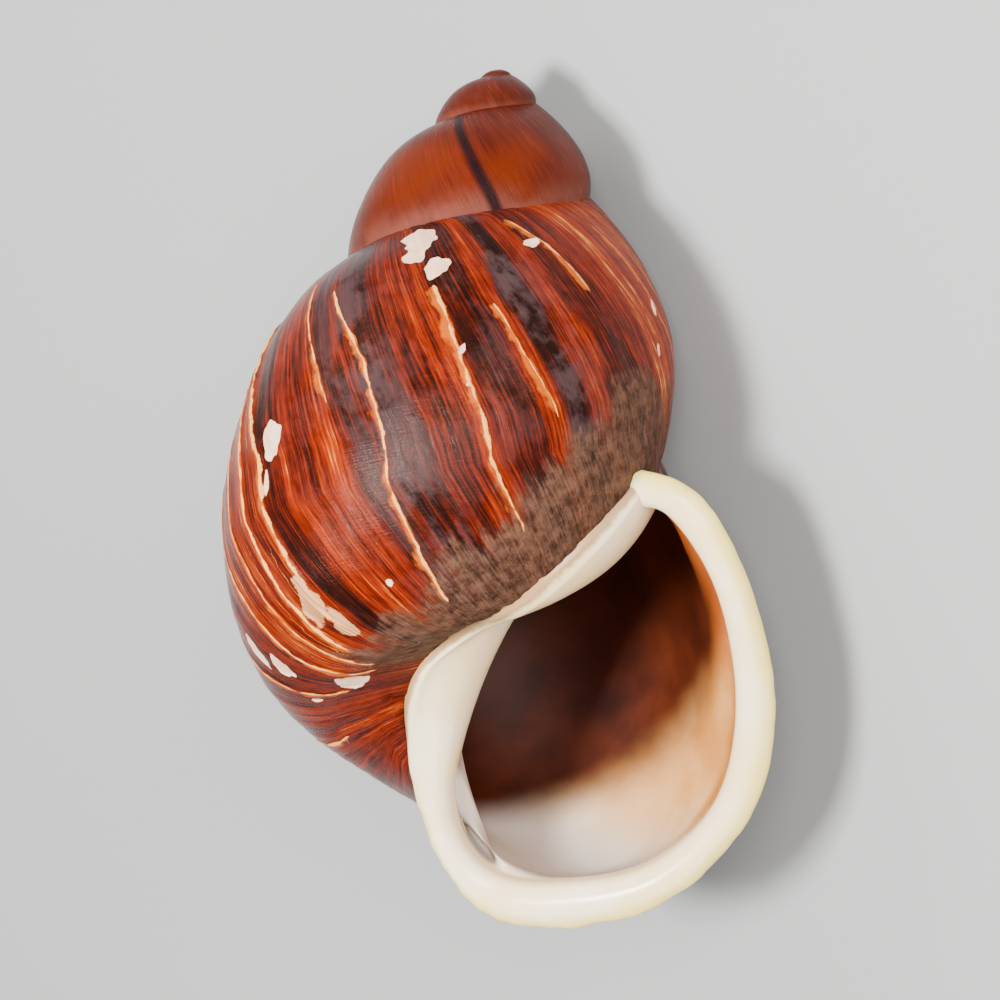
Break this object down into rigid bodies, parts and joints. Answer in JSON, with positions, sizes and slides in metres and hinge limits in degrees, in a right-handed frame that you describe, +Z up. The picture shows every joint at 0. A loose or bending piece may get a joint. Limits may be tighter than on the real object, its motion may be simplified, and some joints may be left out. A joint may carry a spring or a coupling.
{
  "type": "land snail shell",
  "caption": "Right-hand coiled land snail shell with a tall spire, a swollen body whorl and a thick turned-out lip round an open mouth, lying on its back.",
  "frame": {"origin": "on the surface that the shell lies on, under the middle of its bounding box", "axes": "+Z up, +Y along the shell towards its apex as it lies, +X towards the side that the mouth leans to"},
  "size_m": [0.071, 0.1132, 0.0618],
  "materials": {
    "shell": "glossy, worn brown outer skin; porcelain white at the lip"
  },
  "bodies": {
    "root": {"shell": "shell"}
  },
  "joints": []
}
